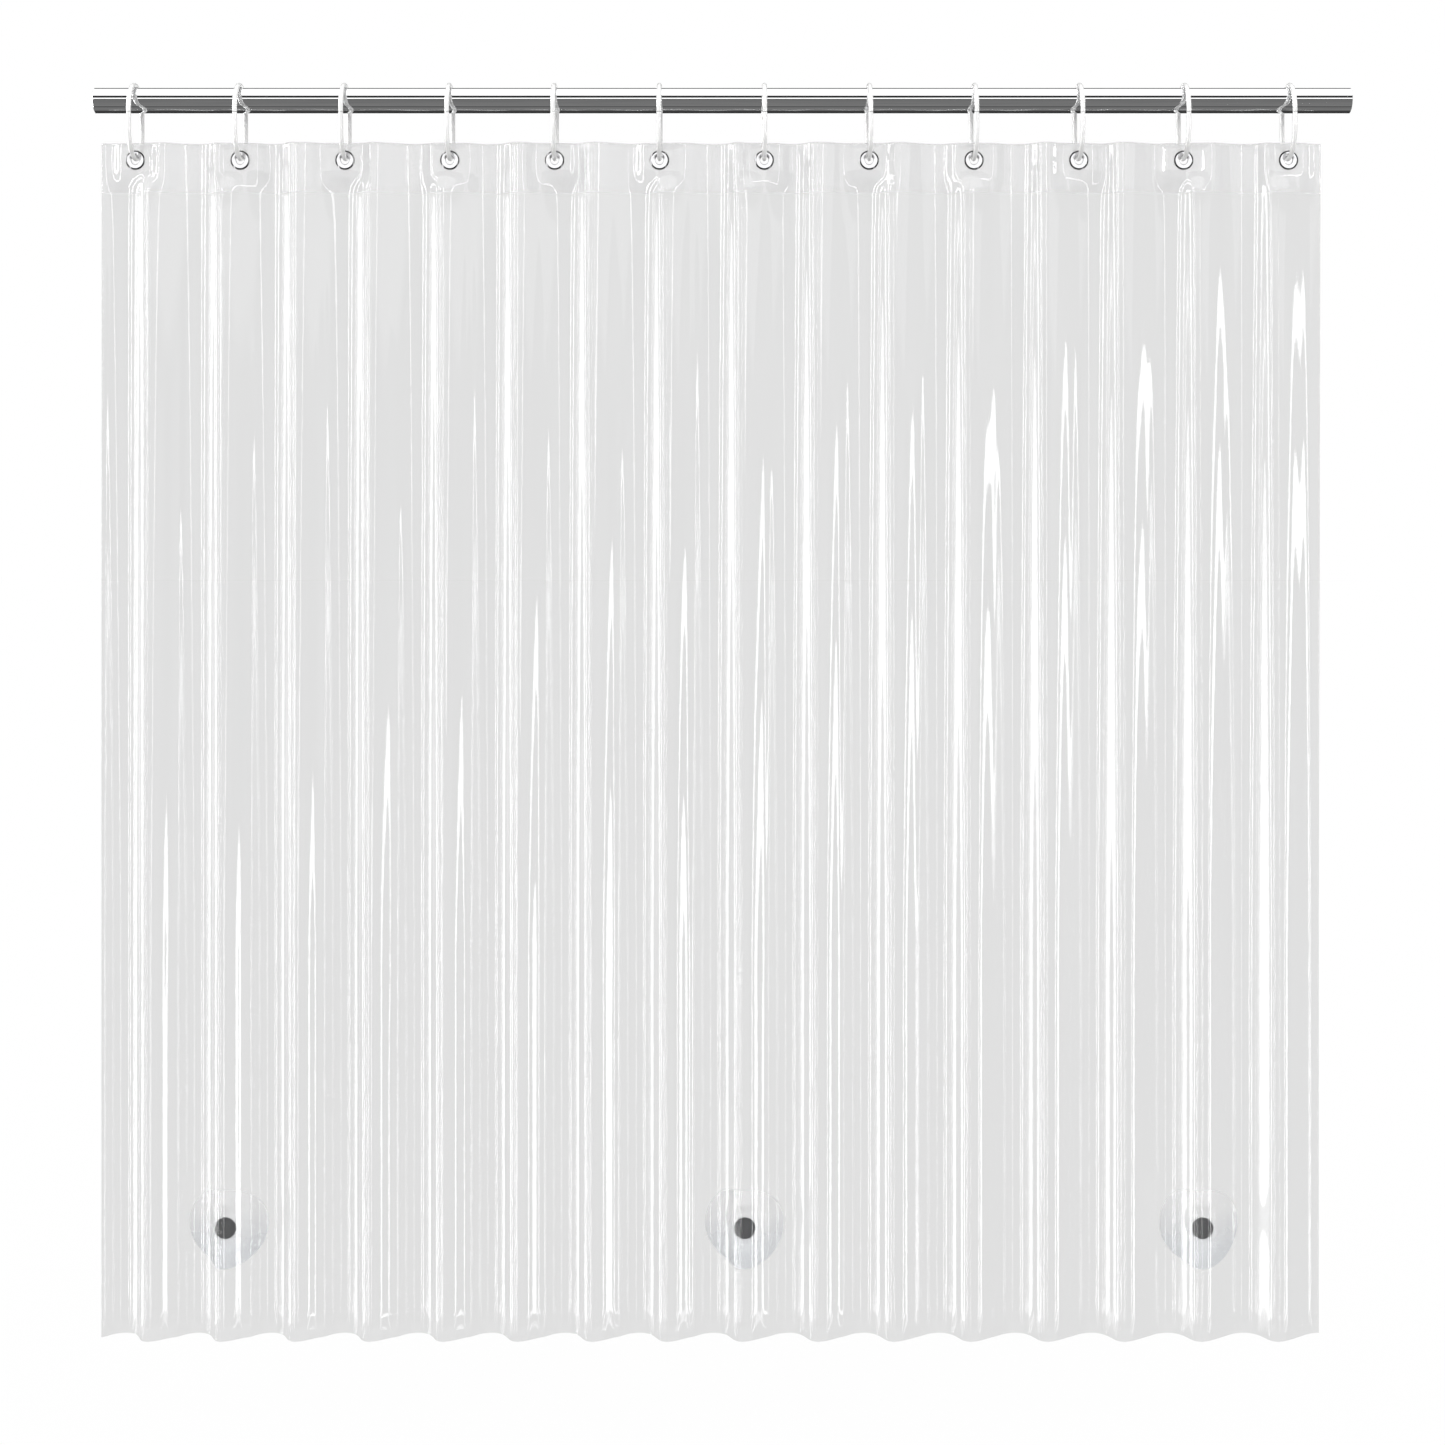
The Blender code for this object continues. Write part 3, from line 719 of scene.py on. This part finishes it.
for side in SIDES:
    name = f"pocket_{side}"
    mesh = pocket_mesh(name, MAGNET_XS[side], MAGNET_BOXES[side][1].y)
    pocket = add_piece(name, mesh, pocket_film)
    film_thickness(pocket)
    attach(pocket, f"pocket_{side}")
    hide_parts(f"magnet_pocket_{side}")
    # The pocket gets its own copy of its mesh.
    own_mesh(pocket)


# ---------------------------------------------------------------- hanger rings
# Twelve oval C rings moulded in white plastic. Each goes over the rod and through an eyelet, and
# its two ends lap by halves at the front, where it clips shut.

RING_LOW, RING_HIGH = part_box("hanger_ring_01")
TUBE_RADIUS = (RING_HIGH.x - RING_LOW.x) / 2
ARC_RADIUS = (RING_HIGH.y - RING_LOW.y) / 2 - TUBE_RADIUS
RING_TOP_Z = RING_HIGH.z - TUBE_RADIUS
RING_BOTTOM_Z = RING_LOW.z + TUBE_RADIUS
SNAP_ABOVE_MIDDLE = 0.005
SNAP_LAP = 0.006
SNAP_SLOT = 0.0008
RING_ARC_STEPS = 40
RING_SIDE_STEP = 0.004
TUBE_SIDES = 28
RING_CRISP_ANGLE = 40

white_plastic, tree, shader, add = new_material("white_plastic")
shader.inputs["IOR"].default_value = 1.49
shader.inputs["Coat Weight"].default_value = 0.25
shader.inputs["Coat Roughness"].default_value = 0.08
flow = stretched_noise(tree, add, stretch=(1.0, 1.0, 0.6), scale=70.0, detail=4.0)
whites = ((0.55, 0.55, 0.547), (0.61, 0.61, 0.607))
moulded = ramp_between(tree, add, flow.outputs["Fac"], low=0.3, high=0.7, colours=whites)
tree.links.new(moulded.outputs["Color"], shader.inputs["Base Color"])
roughness_between(tree, add, shader, flow.outputs["Fac"], low=0.20, high=0.34)
peel = stretched_noise(tree, add, stretch=(1, 1, 1), scale=1400.0, detail=2.0)
bump_from(tree, add, shader, peel.outputs["Fac"], strength=0.15, height=0.00005)


def ring_line():
    """(y, z, outward y, outward z, which half of the tube is left) from one end to the other."""
    snap = (RING_TOP_Z + RING_BOTTOM_Z) / 2 + SNAP_ABOVE_MIDDLE
    top, bottom = RING_TOP_Z - ARC_RADIUS, RING_BOTTOM_Z + ARC_RADIUS
    lap, slot = SNAP_LAP / 2, SNAP_SLOT / 2
    line = [
        (-ARC_RADIUS, snap + lap - slot, -1.0, 0.0, 1),
        (-ARC_RADIUS, snap - lap - slot, -1.0, 0.0, 1),
        (-ARC_RADIUS, snap - lap - slot, -1.0, 0.0, 0),
    ]
    for z in np.arange(snap - lap - 2 * slot, bottom, -RING_SIDE_STEP)[1:]:
        line.append((-ARC_RADIUS, z, -1.0, 0.0, 0))
    for middle, start, sweep in ((bottom, math.pi, math.pi), (top, 0.0, math.pi)):
        for step in range(RING_ARC_STEPS + 1):
            angle = start + sweep * step / RING_ARC_STEPS
            out_y, out_z = math.cos(angle), math.sin(angle)
            line.append((ARC_RADIUS * out_y, middle + ARC_RADIUS * out_z, out_y, out_z, 0))
    line += [
        (-ARC_RADIUS, snap + lap + slot, -1.0, 0.0, 0),
        (-ARC_RADIUS, snap + lap + slot, -1.0, 0.0, -1),
        (-ARC_RADIUS, snap - lap + slot, -1.0, 0.0, -1),
    ]
    return line


def ring_mesh(name, x):
    """A tube along the ring's line; at the lap only the outer or the inner half is left."""
    points = []
    line = ring_line()
    for y, z, out_y, out_z, half in line:
        for step in range(TUBE_SIDES):
            angle = math.tau * step / TUBE_SIDES
            across, out = TUBE_RADIUS * math.cos(angle), TUBE_RADIUS * math.sin(angle)
            if half > 0:
                out = max(out, SNAP_SLOT / 2)
            elif half < 0:
                out = min(out, -SNAP_SLOT / 2)
            points.append((x + across, y + out * out_y, z + out * out_z))
    faces = [tuple(range(TUBE_SIDES)), tuple(range(len(points) - TUBE_SIDES, len(points)))]
    for i in range(len(line) - 1):
        for step in range(TUBE_SIDES):
            here, beside = i * TUBE_SIDES + step, i * TUBE_SIDES + (step + 1) % TUBE_SIDES
            faces.append((here, beside, beside + TUBE_SIDES, here + TUBE_SIDES))
    mesh = bpy.data.meshes.new(name)
    mesh.from_pydata(points, [], faces)
    shape = bmesh.new()
    shape.from_mesh(mesh)
    bmesh.ops.remove_doubles(shape, verts=shape.verts, dist=1e-7)
    bmesh.ops.recalc_face_normals(shape, faces=shape.faces)
    shape.to_mesh(mesh)
    shape.free()
    return mesh


def crisp_edges(piece, degrees):
    """Edges sharper than an angle stay crisp; the rest shade smooth."""
    shape = bmesh.new()
    shape.from_mesh(piece.data)
    for edge in shape.edges:
        if len(edge.link_faces) == 2:
            edge.smooth = edge.calc_face_angle() < math.radians(degrees)
    shape.to_mesh(piece.data)
    shape.free()


for number, (x, body) in enumerate(zip(EYELET_XS, HANGER_BODIES), start=1):
    name = f"ring_{number:02d}"
    ring = add_piece(name, ring_mesh(name, x), white_plastic)
    crisp_edges(ring, RING_CRISP_ANGLE)
    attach(ring, body)
    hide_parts(f"hanger_ring_{number:02d}")


# ---------------------------------------------------------------- rod
# A drawn steel tube, chrome plated and polished along its length. Its ends are cut square and
# deburred with a small chamfer inside and out.

ROD_LOW, ROD_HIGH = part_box("rod")
ROD_RADIUS = (ROD_HIGH.z - ROD_LOW.z) / 2
ROD_WALL = 0.0012
ROD_END_CHAMFER = 0.0003
BORE_CHAMFER = 0.0002
ROD_SIDES = 160
ROD_STATIONS = 48
STATIONS_INSET = 0.001
ROD_CRISP_ANGLE = 35

chrome = metal_material(
    "chrome",
    dark=(0.74, 0.745, 0.75),
    light=(0.86, 0.86, 0.865),
    roughness=(0.03, 0.06),
    grain=(0.02, 1, 1),
    grain_scale=420.0,
    brushing=0.02,
)
half_length = (ROD_HIGH.x - ROD_LOW.x) / 2
bore = ROD_RADIUS - ROD_WALL
last_station = half_length - STATIONS_INSET
stations = [float(station) for station in np.linspace(-last_station, last_station, ROD_STATIONS)]
rod_outline = [(ROD_RADIUS, station) for station in stations]
rod_outline += [
    (ROD_RADIUS, half_length - ROD_END_CHAMFER),
    (ROD_RADIUS - ROD_END_CHAMFER, half_length),
    (bore + BORE_CHAMFER, half_length),
    (bore, half_length - BORE_CHAMFER),
]
rod_outline += [(bore, station) for station in reversed(stations)]
rod_outline += [
    (bore, BORE_CHAMFER - half_length),
    (bore + BORE_CHAMFER, -half_length),
    (ROD_RADIUS - ROD_END_CHAMFER, -half_length),
    (ROD_RADIUS, ROD_END_CHAMFER - half_length),
]
rod_mesh = turned_mesh("chrome_rod", rod_outline, ROD_SIDES, (0, 0, 0), "X")
rod = add_piece("chrome_rod", rod_mesh, chrome)
crisp_edges(rod, ROD_CRISP_ANGLE)
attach(rod, "rod")
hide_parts("rod")


# ---------------------------------------------------------------- studio
# A white floor before a plain white backdrop, in even soft light that is stronger from the
# front. Only mirror-like reflections see the lamps and dark cards: bands over and under the
# rod, with a wide soft box among them, and tall strip lamps that stand round the curtain.

FLOOR_BELOW_HEM = 0.165
FLOOR_SIZE = 400.0
FLOOR_GREY = 0.04
FLOOR_GLOW = 0.934

floor_mesh = bpy.data.meshes.new("floor")
floor_z = HEM_Z - FLOOR_BELOW_HEM
reach = FLOOR_SIZE / 2
floor_corners = ((-reach, -reach), (reach, -reach), (reach, reach), (-reach, reach))
floor_mesh.from_pydata([(x, y, floor_z) for x, y in floor_corners], [], [(0, 1, 2, 3)])
floor_paint, tree, shader, add = new_material("floor_paint")
shader.inputs["Base Color"].default_value = (FLOOR_GREY, FLOOR_GREY, FLOOR_GREY, 1.0)
shader.inputs["Emission Color"].default_value = (1.0, 1.0, 1.0, 1.0)
shader.inputs["Emission Strength"].default_value = FLOOR_GLOW
shader.inputs["Roughness"].default_value = 0.9
shader.inputs["Specular IOR Level"].default_value = 0.0
floor = add_piece("floor", floor_mesh, floor_paint)
floor.visible_glossy = False

world = bpy.data.worlds.new("studio")
bpy.context.scene.world = world
world.use_nodes = True
tree = world.node_tree
tree.nodes.clear()


def world_node(kind, *values, **settings):
    """A world node's first output, its inputs linked or set in order."""
    node = tree.nodes.new(kind)
    for setting, value in settings.items():
        setattr(node, setting, value)
    for socket, value in enumerate(values):
        if isinstance(value, bpy.types.NodeSocket):
            tree.links.new(value, node.inputs[socket])
        elif value is not None:
            node.inputs[socket].default_value = value
    return node.outputs[0] if node.outputs else None


def levels(source, stops, smooth):
    """Brightness over degrees from -180 to 180, as shares of the brightest, by a colour ramp."""
    ramp = tree.nodes.new("ShaderNodeValToRGB")
    ramp.color_ramp.interpolation = "LINEAR" if smooth else "CONSTANT"
    elements = ramp.color_ramp.elements
    while len(elements) < len(stops):
        elements.new(0.5)
    for element, (degrees, level) in zip(elements, stops):
        element.position = (degrees + 180) / 360
        element.color = (level, level, level, 1.0)
    turn = world_node("ShaderNodeMath", source, 1 / math.tau, 0.5, operation="MULTIPLY_ADD")
    tree.links.new(turn, ramp.inputs["Fac"])
    return ramp.outputs["Color"]


direction = tree.nodes.new("ShaderNodeTexCoord").outputs["Generated"]
split = tree.nodes.new("ShaderNodeSeparateXYZ")
tree.links.new(direction, split.inputs[0])
rightwards, backwards, upwards = split.outputs
forwards = world_node("ShaderNodeMath", backwards, -1.0, operation="MULTIPLY")
around_rod = world_node("ShaderNodeMath", upwards, forwards, operation="ARCTAN2")
around_room = world_node("ShaderNodeMath", rightwards, forwards, operation="ARCTAN2")

# Bands by degrees up from the front, round the rod's axis: (degrees, share of the soft box).
BANDS = (
    (-180, 0.90), (-172, 0.90), (-168, 0.03), (-114, 0.03), (-106, 0.12), (-72, 0.12), (-69, 0.05),
    (-63, 0.05), (-60, 0.13), (-4, 0.11), (7, 0.05), (8.5, 1.0), (15, 1.0), (18, 0.02),
    (36, 0.02), (41, 1.0), (122, 1.0), (125, 0.10), (170, 0.10), (173, 0.90), (180, 0.90),
)
# Strip lamps by degrees to the right from the front: (degrees, share of a lamp from there on).
STRIPS = (
    (-180, 0.0), (-122, 1.0), (-104, 0.0), (-98, 1.0), (-78, 0.0), (-54, 1.0), (-48, 0.0),
    (-36, 1.0), (-31, 0.0), (20, 0.6), (23, 0.0), (64, 0.9), (67, 0.0), (72, 1.0), (76, 0.0),
)
STRIP_LAMP = 16.0
STRIP_TOP = 0.6
SOFT_BOX = 1.7
SOFT_BOX_HALF_WIDTH = 0.75
INSIDE_SOFT_BOX = 0.8
BESIDE_SOFT_BOX = 0.2
LIGHT_ALL_ROUND = 1.65
LIGHT_FROM_FRONT = 0.9
WHITE = (1.0, 1.0, 1.0, 1.0)

bands = levels(around_rod, BANDS, smooth=True)
strips = levels(around_room, STRIPS, smooth=False)
steepness = world_node("ShaderNodeMath", upwards, operation="ABSOLUTE")
low_enough = world_node("ShaderNodeMath", steepness, STRIP_TOP, operation="LESS_THAN")
strip_light = world_node("ShaderNodeMath", strips, low_enough, operation="MULTIPLY")
strip_light = world_node("ShaderNodeMath", strip_light, STRIP_LAMP, operation="MULTIPLY")
sideways = world_node("ShaderNodeMath", rightwards, operation="ABSOLUTE")
in_width = world_node("ShaderNodeMath", sideways, SOFT_BOX_HALF_WIDTH, operation="LESS_THAN")
inside, beside = SOFT_BOX * INSIDE_SOFT_BOX, SOFT_BOX * BESIDE_SOFT_BOX
box_light = world_node("ShaderNodeMath", in_width, inside, beside, operation="MULTIPLY_ADD")
studio_light = world_node("ShaderNodeMath", bands, box_light, strip_light, operation="MULTIPLY_ADD")
soft_light = world_node(
    "ShaderNodeMath", forwards, LIGHT_FROM_FRONT, LIGHT_ALL_ROUND, operation="MULTIPLY_ADD"
)
path = tree.nodes.new("ShaderNodeLightPath")
lit = world_node("ShaderNodeBackground", WHITE, soft_light)
backdrop = world_node("ShaderNodeBackground", WHITE, 1.0)
mirrored = world_node("ShaderNodeBackground", WHITE, studio_light)
unmirrored = world_node("ShaderNodeMixShader", path.outputs["Is Camera Ray"], lit, backdrop)
both = world_node("ShaderNodeMixShader", path.outputs["Is Glossy Ray"], unmirrored, mirrored)
world_node("ShaderNodeOutputWorld", both)

# The camera stands square to the curtain, and its picture is shifted down to hold the hem.
CAMERA_DISTANCE = 3.60
CAMERA_Z = -0.70
FRAME_WIDTH = 2.178
FRAME_CENTRE_Z = -0.937

camera_data = bpy.data.cameras.new("camera")
camera_data.lens = camera_data.sensor_width * CAMERA_DISTANCE / FRAME_WIDTH
camera_data.shift_y = (FRAME_CENTRE_Z - CAMERA_Z) / FRAME_WIDTH
camera_data.clip_end = FLOOR_SIZE
camera = bpy.data.objects.new("camera", camera_data)
camera.location = (0.0, -CAMERA_DISTANCE, CAMERA_Z)
camera.rotation_euler = (math.pi / 2, 0.0, 0.0)
bpy.context.scene.collection.objects.link(camera)
bpy.context.scene.camera = camera
bpy.context.scene.view_settings.view_transform = "Standard"
